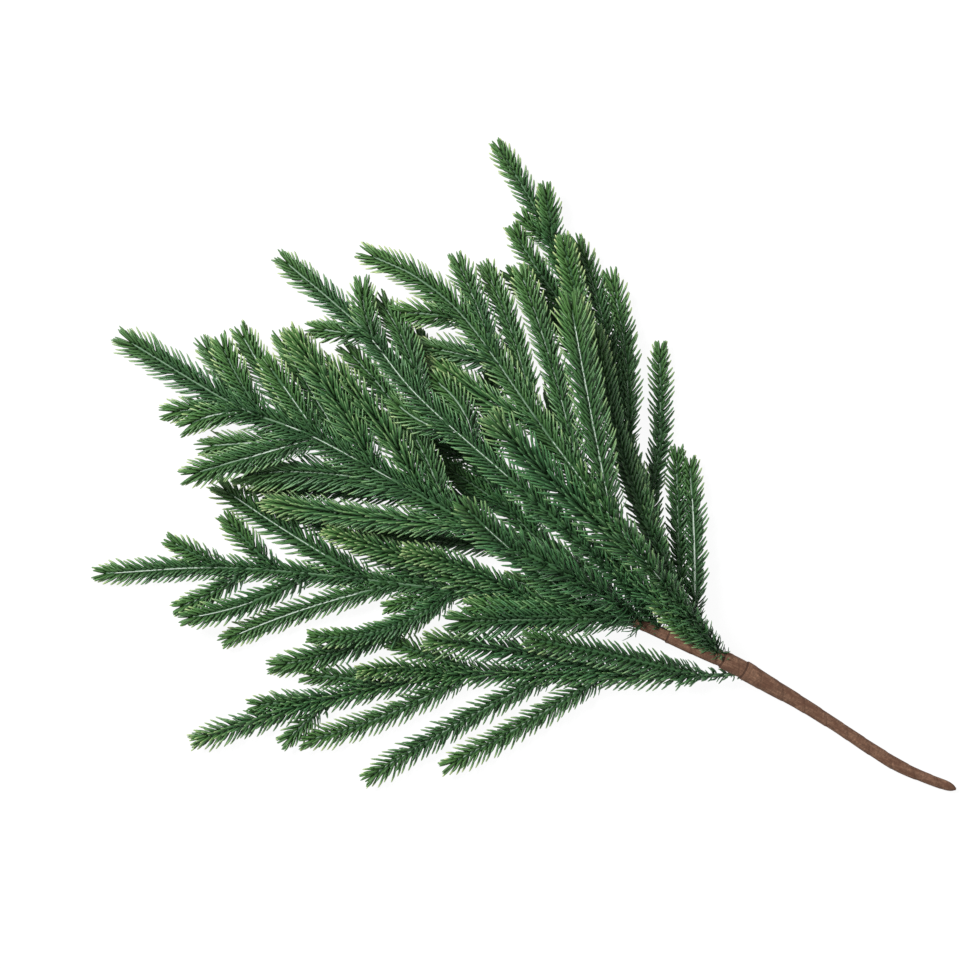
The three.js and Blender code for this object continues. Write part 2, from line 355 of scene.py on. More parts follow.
class Finish:
    """A material under construction, with its Principled shader."""

    def __init__(self, name, **constants):
        self.material = bpy.data.materials.new(name)
        self.material.use_nodes = True
        self.tree = self.material.node_tree
        self.shader = self.tree.nodes["Principled BSDF"]
        self.surface(**constants)

    def feed(self, node, socket, value):
        """Link a wire to a socket, or set the socket's own value."""
        if isinstance(value, Wire):
            self.tree.links.new(value.socket, node.inputs[socket])
        else:
            node.inputs[socket].default_value = value

    def node(self, kind, settings=None, sockets=None, out=0):
        """Add a node: its settings first, then the values or links of its sockets."""
        node = self.tree.nodes.new(kind)
        for name, value in (settings or {}).items():
            if name == "stops":
                ramp = node.color_ramp.elements
                while len(ramp) < len(value):
                    ramp.new(1.0)
                for element, (place, colour) in zip(ramp, value):
                    element.position = place
                    element.color = (*colour, 1.0)
            else:
                setattr(node, name, value)
        for socket, value in (sockets or {}).items():
            self.feed(node, socket, value)
        return Wire(self, node.outputs[out])

    def math(self, operation, *values):
        """A Math node on wires and numbers."""
        return self.node("ShaderNodeMath", {"operation": operation}, dict(enumerate(values)))

    def ramp(self, value, stops):
        """A colour ramp read at a wire; each stop is a place and a colour."""
        return self.node("ShaderNodeValToRGB", {"stops": stops}, {"Fac": value})

    def mix(self, share, first, second):
        """Colours mixed by a share: 0 gives the first and 1 the second."""
        return self.node("ShaderNodeMix", {"data_type": "RGBA"}, {0: share, 6: first, 7: second}, out=2)

    def own_map(self):
        """The two wires of the piece's own map."""
        place = self.node("ShaderNodeUVMap", {"uv_map": MAP_NAME})
        return [self.node("ShaderNodeSeparateXYZ", {}, {"Vector": place}, axis) for axis in "XY"]

    def surface(self, **values):
        """Set or link the shader's sockets, with _ for each space in a socket's name."""
        for socket, value in values.items():
            self.feed(self.shader, socket.replace("_", " "), value)
        return self.material


def shade(colour, factor):
    """A colour made darker or lighter by a factor, kept below white."""
    return tuple(min(1.0, c * factor) for c in colour)


def shades(colour, stops):
    """Stops of a ramp in shades of one colour, from each stop's place and factor."""
    return [(place, shade(colour, factor)) for place, factor in stops]


# Where the oldest and youngest needles lie across the map, and the places of the wood and the rib on it
OLDEST, YOUNGEST = 0.01, 0.89
WOOD_PLACE = (0.12, 0.4)
RIB_PLACE = (0.97, 0.5)
# Shades along a needle: the place, and how much darker or lighter than its middle colour it is there. The
# dark foot is partly the needle's own colour and partly painted shade where the needles crowd round their
# twig
OLD_SHADES = ((0, 0.45), (0.45, 1), (1, 2.5))
YOUNG_SHADES = ((0, 0.45), (0.6, 1))


def needle_finish(look):
    """Needles, read from their own map: across it they go from old to young, and along it from the dark
    foot to the paler tip; the dark foot is partly painted shade where the needles crowd round their twig.
    The far end of the map is the bare rib."""
    finish = Finish("fir_needles", Roughness=0.42, Specular_IOR_Level=0.5)
    age, along = finish.own_map()
    old = finish.ramp(along, shades(look.old_green, OLD_SHADES))
    young = finish.ramp(along, [*shades(look.young_green, YOUNG_SHADES), (1, tuple(look.young_tip))])
    green = finish.mix(age * (1 / YOUNGEST), old, young)
    coloured = finish.mix(age > (YOUNGEST + RIB_PLACE[0]) / 2, green, (*look.rib_colour, 1))
    return finish.surface(Base_Color=coloured)


# Grain of the tape: how fine it is across the stem and along it, and its number of finer layers
FIBRES = (2.2, 190, 3)
STREAKS = (7, 24, 2)
BLOTCHES = (1.3, 26, 3)
# How much the finer layers count, and the share of fibres beside streaks
GRAIN_ROUGHNESS = 0.6
FIBRE_SHARE = 0.55
# Shades of brown over the fibres, and how strong the dark blotches are over their own grain
FIBRE_SHADES = ((0.36, 0.55), (0.5, 1), (0.64, 1.6))
BLOTCH_SHADES = ((0.42, 0), (0.62, 0.75))
# How far and how strongly the fibres stand out, how rough the tape is and what the fibres add to that
FIBRE_HEIGHT, FIBRE_STRENGTH = 0.35 * MM, 0.8
TAPE_ROUGHNESS, FIBRE_ROUGHNESS = 0.78, 0.15
# Painted shade in the crease under the edge of each turn: where in a turn it starts, its strength and its
# shade
CREASE_SHADE_START, CREASE_SHADE_STRENGTH, CREASE_SHADE_DARKNESS = 0.94, 0.3, 0.5
# Painted shadow where a layer of tape ends, under its edge: its width as a share of the stem, its strength
# and its shade
LAYER_SHADOW_WIDTH, LAYER_SHADOW_STRENGTH, LAYER_SHADOW_DARKNESS = 0.0052, 0.8, 0.35
# How far the tape goes past the stem's cut end, and the length over which that end is rounded
STEM_END = 3.2 * MM
STEM_ROUND = 8 * MM
# The share of that length at which the rounding starts, so that the end is blunt
STEM_BLUNT = 0.05
# How far along the stem a layer's end takes to step down
LAYER_STEP = 0.6 * MM
# The share of a turn over which the tape's edge rises
EDGE_RISE = 0.08


def tape_finish(look):
    """Crepe tape: fine fibre across the stem and streaks along it, soft blotches, and painted shade: a
    faint dark line painted under the edge of each turn, and a darker painted shadow where a layer ends."""
    finish = Finish("stem_tape", Specular_IOR_Level=0.2)
    around, along = finish.own_map()
    turn = around * (2 * math.pi)
    across_x, across_y = finish.math("COSINE", turn), finish.math("SINE", turn)

    def speckle(across, down, detail):
        """Grain that closes round the stem, as fine as given across it and along it."""
        where = finish.node("ShaderNodeCombineXYZ", {}, {
            "X": across_x * across, "Y": across_y * across, "Z": along * down})
        return finish.node("ShaderNodeTexNoise", {}, {
            "Vector": where, "Scale": 1.0, "Detail": detail, "Roughness": GRAIN_ROUGHNESS})

    fibres = speckle(*FIBRES) * FIBRE_SHARE + speckle(*STREAKS) * (1 - FIBRE_SHARE)
    plain = finish.ramp(fibres, shades(look.brown, FIBRE_SHADES))
    blotched = finish.ramp(speckle(*BLOTCHES), shades((1, 1, 1), BLOTCH_SHADES))
    worn = finish.mix(blotched, plain, (*look.dark_brown, 1))
    wound = finish.math("FRACT", along * look.turns + around)
    # Painted shade: a faint dark line where the tape lies low at the foot of the next turn's raised edge
    edge = (wound > CREASE_SHADE_START) * CREASE_SHADE_STRENGTH
    shaded_tape = finish.mix(edge, worn, (*shade(look.dark_brown, CREASE_SHADE_DARKNESS), 1))
    path = stem_path()
    # Painted shadow: a narrow dark band just past where each layer of tape ends, under that layer's edge
    for layer_end in path.reach[::SPAN_SAMPLES][STEM[:, 3] > STEM[:, 4]]:
        past = along - (layer_end + STEM_END) / (path.length + STEM_END)
        line = (past > 0) * (1 - (past > LAYER_SHADOW_WIDTH)) * LAYER_SHADOW_STRENGTH
        shaded_tape = finish.mix(line, shaded_tape, (*shade(look.dark_brown, LAYER_SHADOW_DARKNESS), 1))
    bump = finish.node("ShaderNodeBump", {}, {
        "Height": fibres, "Strength": FIBRE_STRENGTH, "Distance": FIBRE_HEIGHT})
    return finish.surface(
        Base_Color=shaded_tape, Roughness=TAPE_ROUGHNESS + fibres * FIBRE_ROUGHNESS, Normal=bump)


class Path:
    """A curve in space that points can be laid along by their distance from its start."""

    def __init__(self, points):
        self.points = points
        steps = np.linalg.norm(np.diff(points, axis=0), axis=1)
        self.reach = np.concatenate([[0], np.cumsum(steps)])
        self.length = self.reach[-1]
        ahead = np.gradient(points, self.reach, axis=0)
        self.heading = ahead / np.linalg.norm(ahead, axis=1, keepdims=True)

    def lay(self, distance):
        """Point, way ahead, way to the side and way up at each distance; the ends run on straight."""
        held = np.clip(distance, 0, self.length)
        at = np.stack([np.interp(held, self.reach, self.points[:, k]) for k in range(3)], -1)
        ahead = np.stack([np.interp(held, self.reach, self.heading[:, k]) for k in range(3)], -1)
        ahead /= np.linalg.norm(ahead, axis=-1, keepdims=True)
        side = np.cross(ahead, [0, 0, 1])
        side /= np.linalg.norm(side, axis=-1, keepdims=True)
        at = at + ahead * (distance - held)[..., None]
        return at, ahead, side, np.cross(side, ahead)


class Skin(NamedTuple):
    """Points, quads and triangles, and the place on the map of each quad's and triangle's corners."""

    points: np.ndarray
    quads: np.ndarray
    tris: np.ndarray
    quad_map: np.ndarray
    tri_map: np.ndarray

    def painted(self, place):
        """The same skin with its whole surface at one place of the map."""
        return self._replace(quad_map=np.broadcast_to(place, self.quad_map.shape),
                             tri_map=np.broadcast_to(place, self.tri_map.shape))


class Twig(NamedTuple):
    """What a twig is like: its curve, how far its needles reach, how far apart they stand against the
    common pitch, how much wider they open, their share of the common width, how far from its foot they
    are at their full length, the share they gain at its foot, how much less tidy they are there and how
    many stray ones stand there, how they part on top, their age and painted shade, and its pale rib."""

    path: Path
    girth: float
    spacing: float
    splay: float
    blade: float
    swell: float
    foot: float
    mess: float
    strays: int
    ranks: tuple
    fresh_and_shade: float
    rib: tuple


# Points on each span of a spine's or the stem's curve, and on a twig's
SPAN_SAMPLES = 48
TWIG_SAMPLES = 64


def smooth_path(knots):
    """Catmull-Rom curve through the knots: each span is a cubic whose slope at a knot is half the
    step between the knot's neighbours, and the end knots are mirrored outward."""
    knots = np.asarray(knots, float)
    padded = np.vstack([2 * knots[0] - knots[1], knots, 2 * knots[-1] - knots[-2]])
    t = np.linspace(0, 1, SPAN_SAMPLES, endpoint=False)[None, :, None]
    a, b, c, d = (padded[k:len(padded) - 3 + k, None, :] for k in range(4))
    spans = 0.5 * (2 * b + (c - a) * t + (2 * a - 5 * b + 4 * c - d) * t**2 + (3 * (b - c) + d - a) * t**3)
    return np.vstack([spans.reshape(-1, knots.shape[1]), knots[-1:]])


def stem_path():
    """The stem's curve, from its cut end."""
    return Path(smooth_path(STEM[:, :3]) * MM)


def twig_path(spine, share, tip, bow):
    """Quadratic curve from a spine to a twig's tip, bowed level to its left."""
    start = spine.lay(np.array([share * spine.length]))[0][0]
    end = np.array(tip) * MM
    level = np.array([start[1] - end[1], end[0] - start[0], 0])
    middle = (start + end) / 2 + level / np.linalg.norm(level) * 2 * bow * MM
    t = np.linspace(0, 1, TWIG_SAMPLES)[:, None]
    return Path((1 - t)**2 * start + 2 * t * (1 - t) * middle + t**2 * end)


def join(skins):
    """Several skins as one."""
    counts = np.cumsum([0] + [len(skin.points) for skin in skins[:-1]])
    return Skin(
        np.concatenate([skin.points for skin in skins]),
        np.concatenate([skin.quads + n for skin, n in zip(skins, counts)]),
        np.concatenate([skin.tris + n for skin, n in zip(skins, counts)]),
        np.concatenate([skin.quad_map for skin in skins]),
        np.concatenate([skin.tri_map for skin in skins]))


# How far the points that close a tube stand past its end rings, in radii
CAP = 0.4


def tube(path, distance, radius, lift=0.0):
    """Profile carried along a path: a ring of points round each distance, at the radius given for
    that ring and turn, closed at both ends by a point. The map runs around it and along it."""
    at, ahead, side, up = path.lay(distance)
    rings, sides = radius.shape
    at = at + up * lift
    turn = np.arange(sides) * 2 * np.pi / sides
    out = np.cos(turn)[None, :, None] * side[:, None] + np.sin(turn)[None, :, None] * up[:, None]
    points = (at[:, None] + out * radius[..., None]).reshape(-1, 3)
    ends = np.stack([at[0] - ahead[0] * radius[0, 0] * CAP, at[-1] + ahead[-1] * radius[-1, 0] * CAP])
    k, j = np.meshgrid(np.arange(rings - 1), np.arange(sides), indexing="ij")
    n = (j + 1) % sides
    quads = np.stack([k * sides + j, (k + 1) * sides + j, (k + 1) * sides + n, k * sides + n], -1)
    quad_map = np.stack([
        np.stack([j, j, j + 1, j + 1], -1) / sides, np.stack([k, k + 1, k + 1, k], -1) / (rings - 1)], -1)
    j, n, top = j[0], n[0], (rings - 1) * sides
    tris = np.concatenate([
        np.stack([np.full(sides, rings * sides), j, n], -1),
        np.stack([np.full(sides, rings * sides + 1), top + n, top + j], -1)])
    columns = np.stack([j + 0.5, j, j + 1], -1) / sides
    tri_map = np.concatenate([
        np.stack([columns, np.zeros_like(columns)], -1),
        np.stack([columns[:, [0, 2, 1]], np.ones_like(columns)], -1)])
    return Skin(
        np.concatenate([points, ends]), quads.reshape(-1, 4), tris, quad_map.reshape(-1, 4, 2), tri_map)


# Where along a needle its rings stand, and how wide it is there
NEEDLE_RINGS = np.array([0.0, 0.32, 0.68, 0.92])
NEEDLE_WIDTHS = np.array([0.9, 1.0, 0.88, 0.54])
# The needle rows on each side of a twig: turn from straight up, length beside the level row, and how far
# along its step a row starts. Those that reach a twig's edge stand in line, like a comb.
CLOSED_ROWS = ((15, 0.9, 0.0), (48, 0.9, 0.5))
OPEN_ROWS = ((28, 0.5, 0.0), (60, 0.66, 0.5))
RIBBED_ROWS = ((38, 0.45, 0.0), (64, 0.62, 0.5))
OTHER_ROWS = ((90, 1.0, 0.0), (118, 0.66, 0.5), (156, 0.5, 0.0))
# How far the rows on one side stand behind those on the other, in steps, and the fewest steps of a twig
SIDE_PHASE = 0.3
FEWEST_STEPS = 3
# At a foot the rows nearer the top than this close over the wood, by this share of their turn, and all
# needles open wider by this share
TOP_TURN = math.radians(45)
FOOT_CLOSER = 0.55
FOOT_OPENER = 0.2
# The needles at a twig's end: how much of it they stand on, how much closer they lie, how much shorter
CROWN = 11 * MM
CROWN_CLOSER = 0.45
CROWN_SHORTER = 0.22
# How much of a twig's end has younger needles
YOUNG_END = 32 * MM
# Age of the needles on the map, what a twig's tip adds and its foot takes off, and how it differs from
# twig to twig and from needle to needle
AGE, AGE_AT_TIP, AGE_AT_FOOT = 0.21, 0.55, 0.22
TWIG_AGES, NEEDLE_AGES = 0.06, 0.08
# Painted highlight: a needle's edges are painted a little younger, and so paler, in colour than its middle,
# as where light catches them
NEEDLE_EDGE_HIGHLIGHT = 0.09
# Needles and wood at a foot are this much thinner
FOOT_SLIMMER = 0.5
# Stray needles stand on this much of the way to where a twig has its full girth
STRAY_REACH = 1.3
# How much wider than the rest a stray needle may open, in radians
STRAY_CURL = 0.9
# How needles differ from one another: place in steps, turn, angles at foot and tip, length and sway
PLACE_SPREAD, TURN_SPREAD = 0.09, 0.09
OPENING_SPREAD, CLOSING_SPREAD = 0.07, 0.04
LENGTH_SPREAD, SWAY_SPREAD = 0.07, 0.05
# Every needle bends toward the tip of its twig by at least this, in radians
LEAST_BEND = 0.12


class Needles(NamedTuple):
    """A twig's needles: how far along it each one stands, its turn round it, its length beside the level
    row, its angle to the twig at foot and tip, its length, sway to the side, age and share of the width."""

    distance: np.ndarray
    turn: np.ndarray
    share: np.ndarray
    opening: np.ndarray
    closing: np.ndarray
    size: np.ndarray
    sway: np.ndarray
    age: np.ndarray
    slim: np.ndarray


def needle_rows(twig, look, rng):
    """Needles in rings along a twig, with strays at its foot. Foot and crown fall evenly from 1 at the
    twig's foot and tip to 0, and each needle's size, angles and age follow them, give or take a little."""
    length = twig.path.length
    turns, shares, phases = np.array((*twig.ranks, *OTHER_ROWS)).T
    rings = max(FEWEST_STEPS, round(length / (look.pitch * twig.spacing)))
    step = length / rings
    phases = np.concatenate([phases, phases + SIDE_PHASE])
    distance = ((np.arange(rings + 1)[:, None] + phases[None]) * step).ravel()
    turn = np.radians(np.tile(np.concatenate([turns, -turns]), rings + 1))
    share = np.tile(shares, 2 * rings + 2)
    strays = rng.uniform(0, 1, (3, twig.strays))
    distance = np.append(distance, strays[0] * STRAY_REACH * twig.swell)
    turn = np.append(turn, strays[1] * 2 * np.pi)
    share = np.append(share, 1 - strays[2] / 2)
    count = len(turn)
    stray = np.arange(count) >= count - twig.strays

    foot = np.clip(1 - distance / twig.swell, 0, 1)
    crown = np.clip(1 - (length - distance) / CROWN, 0, 1)
    loose = 1 + twig.mess * foot
    distance = np.clip(distance + rng.normal(0, PLACE_SPREAD, count) * step * loose, 0, length)
    turn = turn * (1 - FOOT_CLOSER * foot * (np.abs(turn) < TOP_TURN))
    turn = turn + rng.normal(0, TURN_SPREAD, count) * loose
    widest, least = look.opening + twig.splay, look.closing + twig.splay
    opening = widest * (1 - CROWN_CLOSER * crown) * (1 + FOOT_OPENER * foot)
    opening = opening + rng.normal(0, OPENING_SPREAD, count) * loose
    opening = opening + stray * rng.uniform(0, STRAY_CURL, count)
    closing = least * (1 - CROWN_CLOSER * crown) + rng.normal(0, CLOSING_SPREAD, count) * loose
    closing = np.minimum(closing, opening - LEAST_BEND)
    room = twig.girth * look.reach - look.wood / 2
    full = room * (widest - least) / (math.cos(least) - math.cos(widest))
    size = full * (share + (1 - share) * np.maximum(foot, crown))
    size *= (1 + twig.foot * foot) * (1 - CROWN_SHORTER * crown) * rng.normal(1, LENGTH_SPREAD, count)
    sway = rng.normal(0, SWAY_SPREAD, count) * loose
    young = np.clip(1 - (length - distance) / YOUNG_END, 0, 1)
    # A twig's own value moves its needles' age; on twigs that lie in shade it also paints that shade
    age = AGE + twig.fresh_and_shade * distance / length + AGE_AT_TIP * young - AGE_AT_FOOT * foot
    age = age + rng.normal(0, TWIG_AGES) + rng.normal(0, NEEDLE_AGES, count)
    slim = twig.blade * (1 - FOOT_SLIMMER * foot)
    return Needles(distance, turn, share, opening, closing, size, sway, age, slim)


def needle_blades(path, needles, look):
    """The skin of a twig's needles. A needle's centre line lies in the plane of the twig and its own way
    out; its angle to the twig falls evenly from opening to closing, so the way along and the way out are
    the integrals of that angle's cosine and sine. Its section is a diamond that lies flat: its wide way
    is level, square to the needle, and its thin way square to both."""
    distance, turn, share, opening, closing, size, sway, age, slim = needles
    count = len(turn)
    t = np.append(NEEDLE_RINGS, 1.0)[None]
    angle = opening[:, None] + (closing - opening)[:, None] * t
    bend = (opening - closing)[:, None]
    along = size[:, None] * (np.sin(opening)[:, None] - np.sin(angle)) / bend
    outward = look.wood / 2 + size[:, None] * (np.cos(angle) - np.cos(opening)[:, None]) / bend
    sideways = (size * sway)[:, None] * t**2

    at, ahead, side, up = path.lay(distance)
    out = np.sin(turn)[:, None] * side + np.cos(turn)[:, None] * up
    across = np.cross(ahead, out)
    centre = (at[:, None] + ahead[:, None] * along[..., None] + out[:, None] * outward[..., None]
              + across[:, None] * sideways[..., None])
    body = centre[:, :-1]
    onward = np.diff(centre, axis=1)
    level = np.cross(onward, up[:, None])
    level /= np.linalg.norm(level, axis=-1, keepdims=True)
    thin = np.cross(level, onward)
    thin /= np.linalg.norm(thin, axis=-1, keepdims=True)
    wide = level * (slim[:, None] * NEEDLE_WIDTHS * look.width / 2)[..., None]
    deep = thin * (NEEDLE_WIDTHS * look.thickness / 2)[None, :, None]
    levels = len(NEEDLE_RINGS)
    sections = np.stack([body + wide, body + deep, body - wide, body - deep], axis=2)
    points = np.concatenate([sections.reshape(count, levels * 4, 3), centre[:, -1:]], axis=1)

    per = levels * 4 + 1
    # Painted highlight: the needle's two wide edges sit younger and paler on the map than its middle
    edge_highlights = np.append(np.tile([NEEDLE_EDGE_HIGHLIGHT, 0, NEEDLE_EDGE_HIGHLIGHT, 0], levels), 0)
    places = np.empty((count, per, 2))
    places[..., 0] = np.clip(age[:, None] + edge_highlights[None], OLDEST, YOUNGEST)
    places[..., 1] = np.append(np.repeat(NEEDLE_RINGS, 4), 1.0)[None] * share[:, None]
    k, j = np.meshgrid(np.arange(levels - 1) * 4, np.arange(4), indexing="ij")
    n = (j + 1) % 4
    sides = np.stack([k + j, k + n, k + 4 + n, k + 4 + j], -1).reshape(-1, 4)
    quads = np.concatenate([sides, [[3, 2, 1, 0]]])
    tris = np.stack([levels * 4 - 4 + j[0], levels * 4 - 4 + n[0], np.full(4, per - 1)], -1)
    starts = (np.arange(count) * per)[:, None, None]
    return Skin(
        points.reshape(-1, 3), (quads[None] + starts).reshape(-1, 4), (tris[None] + starts).reshape(-1, 3),
        places[:, quads].reshape(-1, 4, 2), places[:, tris].reshape(-1, 3, 2))


# Points round the wood and the rib
TUBE_SIDES = 6
# Wood at a twig's tip is this much thinner
TIP_SLIMMER = 0.25
# Rings of points on wood and rib for each ring of needles, and the fewest there are
RING_STEPS, FEWEST_RINGS = 2, 4
# Knobs on a twig's wood where needles leave it, in radii of the wood
KNOB = 0.14
# Height of the rib's middle where it dips and where it rises, in radii of the wood, and how that differs
RIB_DIP, RIB_RISE, RIB_MESS = 0.6, 0.98, 0.1
# How thin and how thick the rib gets, beside its own radius
RIB_THIN, RIB_THICK = 0.75, 1.1


def twig_wood(twig, look):
    """A tube along a twig, thinner at its foot and toward its tip, with a knob at every ring of
    needles: the radius rises and falls as a cosine along it, turned by half a step on every other side."""
    length = twig.path.length
    rings = max(FEWEST_RINGS, round(length / look.pitch * RING_STEPS))
    distance = np.linspace(0, length, rings)
    foot = np.clip(1 - distance / twig.swell, 0, 1)
    slim = 1 - FOOT_SLIMMER * foot - TIP_SLIMMER * distance / length
    wave = 2 * np.pi * distance[:, None] / look.pitch + np.pi * (np.arange(TUBE_SIDES) % 2)[None]
    return tube(twig.path, distance, look.wood * slim[:, None] * (1 + KNOB * np.cos(wave)))


def pale_rib(path, shares, look, rng):
    """A thin tube on top of a twig, which dips into the wood between one ring of needles and the next:
    its height over the twig's middle is the wood's radius times a share that goes up and down."""
    first, last = (share * path.length for share in shares)
    rings = max(FEWEST_RINGS, round((last - first) / look.pitch * RING_STEPS))
    share = RIB_DIP + (RIB_RISE - RIB_DIP) * (np.arange(rings) % 2) + rng.normal(0, RIB_MESS, rings)
    thickness = look.rib * rng.uniform(RIB_THIN, RIB_THICK, rings)[:, None] * np.ones(TUBE_SIDES)
    return tube(path, np.linspace(first, last, rings), thickness, look.wood * share[:, None])


def dressed_twig(twig, look, rng):
    """One twig: its wood, the needles on it, and its pale rib where that shows."""
    needles = needle_rows(twig, look, rng)
    skins = [twig_wood(twig, look).painted(WOOD_PLACE), needle_blades(twig.path, needles, look)]
    if twig.rib:
        skins.append(pale_rib(twig.path, twig.rib, look, rng).painted(RIB_PLACE))
    return join(skins)


# How near the table needles and tape start to give way
NEEDLE_GIVE = 2.0 * MM
TAPE_GIVE = 0.3 * MM


def lie_on_table(skin, give):
    """Points near or under the table are pressed up: below the give, height becomes
    give * exp((height - give) / give), which never reaches the table."""
    height = skin.points[:, 2]
    skin.points[:, 2] = np.where(height < give, give * np.exp((height - give) / give), height)
    return skin


def make_piece(name, skin, material, node):
    """Put a skin into a mesh, dress it, and let it ride on the branch in place of a CAD node."""
    mesh = bpy.data.meshes.new(name)
    corners = np.concatenate([skin.quads.ravel(), skin.tris.ravel()]).astype(np.int32)
    sizes = np.concatenate([np.full(len(skin.quads), 4), np.full(len(skin.tris), 3)])
    starts = np.concatenate([[0], np.cumsum(sizes)[:-1]]).astype(np.int32)
    places = np.concatenate([skin.quad_map.reshape(-1, 2), skin.tri_map.reshape(-1, 2)])
    mesh.vertices.add(len(skin.points))
    mesh.vertices.foreach_set("co", skin.points.astype(np.float32).ravel())
    mesh.loops.add(len(corners))
    mesh.loops.foreach_set("vertex_index", corners)
    mesh.polygons.add(len(sizes))
    mesh.polygons.foreach_set("loop_start", starts)
    mesh.polygons.foreach_set("use_smooth", np.ones(len(sizes), bool))
    mesh.update(calc_edges=True)
    mesh.uv_layers.new(name=MAP_NAME).uv.foreach_set("vector", places.astype(np.float32).ravel())
    if mesh.validate():
        raise RuntimeError(f"{name}: the mesh was not sound")
    mesh.materials.append(material)
    piece = bpy.data.objects.new(name, mesh)
    bpy.context.scene.collection.objects.link(piece)
    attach(piece, "root")
    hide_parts(node)


def finish_named(name, maker, look):
    """The material of that name, made the first time it is asked for."""
    return bpy.data.materials.get(name) or maker(look)


# How far from its foot a twig's or spine's needles are at their full length, and how much longer or
# shorter they are at the foot
TWIG_SWELL = 22 * MM
SPINE_SWELLS = {
    "left": 70 * MM, "upper_left": 80 * MM, "middle": 95 * MM, "front": 115 * MM, "top": 95 * MM,
}
OTHER_SPINE_SWELL = 52 * MM
TWIG_FOOT = -0.25
SPINE_FEET = {"low": -0.72, "left": -0.1, "upper_left": -0.15, "under": -0.3}
OTHER_SPINE_FOOT = -0.55
# How much less tidy the needles are at the foot than farther along
TWIG_MESS = 2
SPINE_MESS = 8
# How much a forked twig's needles differ in age from what is set for it
FRESH_SPREAD = 0.04
# How far apart a spray's needles stand against the common pitch, how many degrees wider they open, and
# their share of the common width
SPREAD = {
    "low": (1.12, 5, 0.88), "left": (1, 3, 0.98), "upper_left": (0.88, 0, 0.88), "middle": (0.9, 0, 0.9),
    "front": (0.92, 0, 0.92), "top": (1, 2, 0.96), "right": (1.1, 4, 0.92),
}
COMMON_SPREAD = (1, 0, 1)
# Stray needles round the foot of a spine
STRAYS = {
    "low": 0, "left": 120, "upper_left": 200, "middle": 200,
    "front": 260, "top": 180, "right": 40, "under": 0,
}


def rows_of(name):
    """The upper needle rows of the twig of that name."""
    return CLOSED_ROWS if name in CLOSED else RIBBED_ROWS if name in RIBS else OPEN_ROWS


def spread_of(name):
    """Spacing, added opening and width of the needles on the twig or spine of that name."""
    spray = next(spray for spray in SPRAYS if name.startswith(f"{spray}_"))
    spacing, splay, blade = SPREAD.get(spray, COMMON_SPREAD)
    return spacing, math.radians(splay), blade


def forked_twig(spine, fork, girth, name, fresh_and_shade):
    """A twig or tuft that forks off a spine."""
    share, x, y, z, bow, *own = fork
    return Twig(twig_path(spine, share, (x, y, z), bow), (own[0] if own else girth) * MM,
                *spread_of(name), TWIG_SWELL, TWIG_FOOT, TWIG_MESS, 0, rows_of(name), fresh_and_shade,
                RIBS.get(name))


class FIR_OT_stem(bpy.types.Operator):
    """Wind the tape round the stem: at each place along it the radius is the tape's own, rounded off as a
    quarter circle at the cut end, and rises and falls a little with every turn"""

    bl_idname = "fir.stem"
    bl_label = "Stem"

    rings: bpy.props.IntProperty(name="Rings", description="Rings of points along the stem", default=520)
    sides: bpy.props.IntProperty(name="Sides", description="Points round the stem", default=32)

    def execute(self, context):
        look = context.scene.fir_tape
        path = stem_path()
        knots = path.reach[::SPAN_SAMPLES]
        distance = np.linspace(-STEM_END, path.length, self.rings)
        steps = np.stack([knots, knots + LAYER_STEP], -1).ravel()
        plain = np.interp(distance, steps, STEM[:, 3:].ravel() * MM)
        inward = np.clip((distance + STEM_END) / STEM_ROUND, STEM_BLUNT, 1)
        plain *= np.sqrt(1 - (1 - inward)**2)
        turn = np.arange(self.sides) / self.sides
        along = (distance + STEM_END) / (path.length + STEM_END)
        wound = (along[:, None] * look.turns + turn[None]) % 1
        proud = look.edge * np.minimum(wound / EDGE_RISE, (1 - wound) / (1 - EDGE_RISE))
        skin = tube(path, distance, plain[:, None] + (proud - look.edge / 2) * inward[:, None])
        make_piece("stem_tape", lie_on_table(skin, TAPE_GIVE),
                   finish_named("stem_tape", tape_finish, look), "stem")
        return {"FINISHED"}


class FIR_OT_spines(bpy.types.Operator):
    """Set the spine of every spray, and the short tufts on it, with needles"""

    bl_idname = "fir.spines"
    bl_label = "Spines"

    def execute(self, context):
        look = context.scene.fir_needles
        material = finish_named("fir_needles", needle_finish, look)
        for number, (spray, parts) in enumerate(SPRAYS.items()):
            name = f"{spray}_spine"
            rng = np.random.default_rng([look.seed, number])
            path = Path(smooth_path(parts["spine"]) * MM)
            fresh_and_shade = FRESH_AND_SHADE.get(name, 0)
            twigs = [Twig(path, parts.get("spine_girth", parts["girth"]) * MM, *spread_of(name),
                          SPINE_SWELLS.get(spray, OTHER_SPINE_SWELL),
                          SPINE_FEET.get(spray, OTHER_SPINE_FOOT), SPINE_MESS, STRAYS[spray],
                          rows_of(name), fresh_and_shade, RIBS.get(name))]
            tufts = {f"{spray}_tuft_{k}": tuft for k, tuft in enumerate(parts["tufts"], 1)}
            twigs += [forked_twig(path, tuft, parts["girth"], tuft_name, FRESH_AND_SHADE.get(tuft_name, fresh_and_shade))
                      for tuft_name, tuft in tufts.items()]
            skin = join([dressed_twig(twig, look, rng) for twig in twigs])
            make_piece(f"{name}_needles", lie_on_table(skin, NEEDLE_GIVE), material, name)
        return {"FINISHED"}


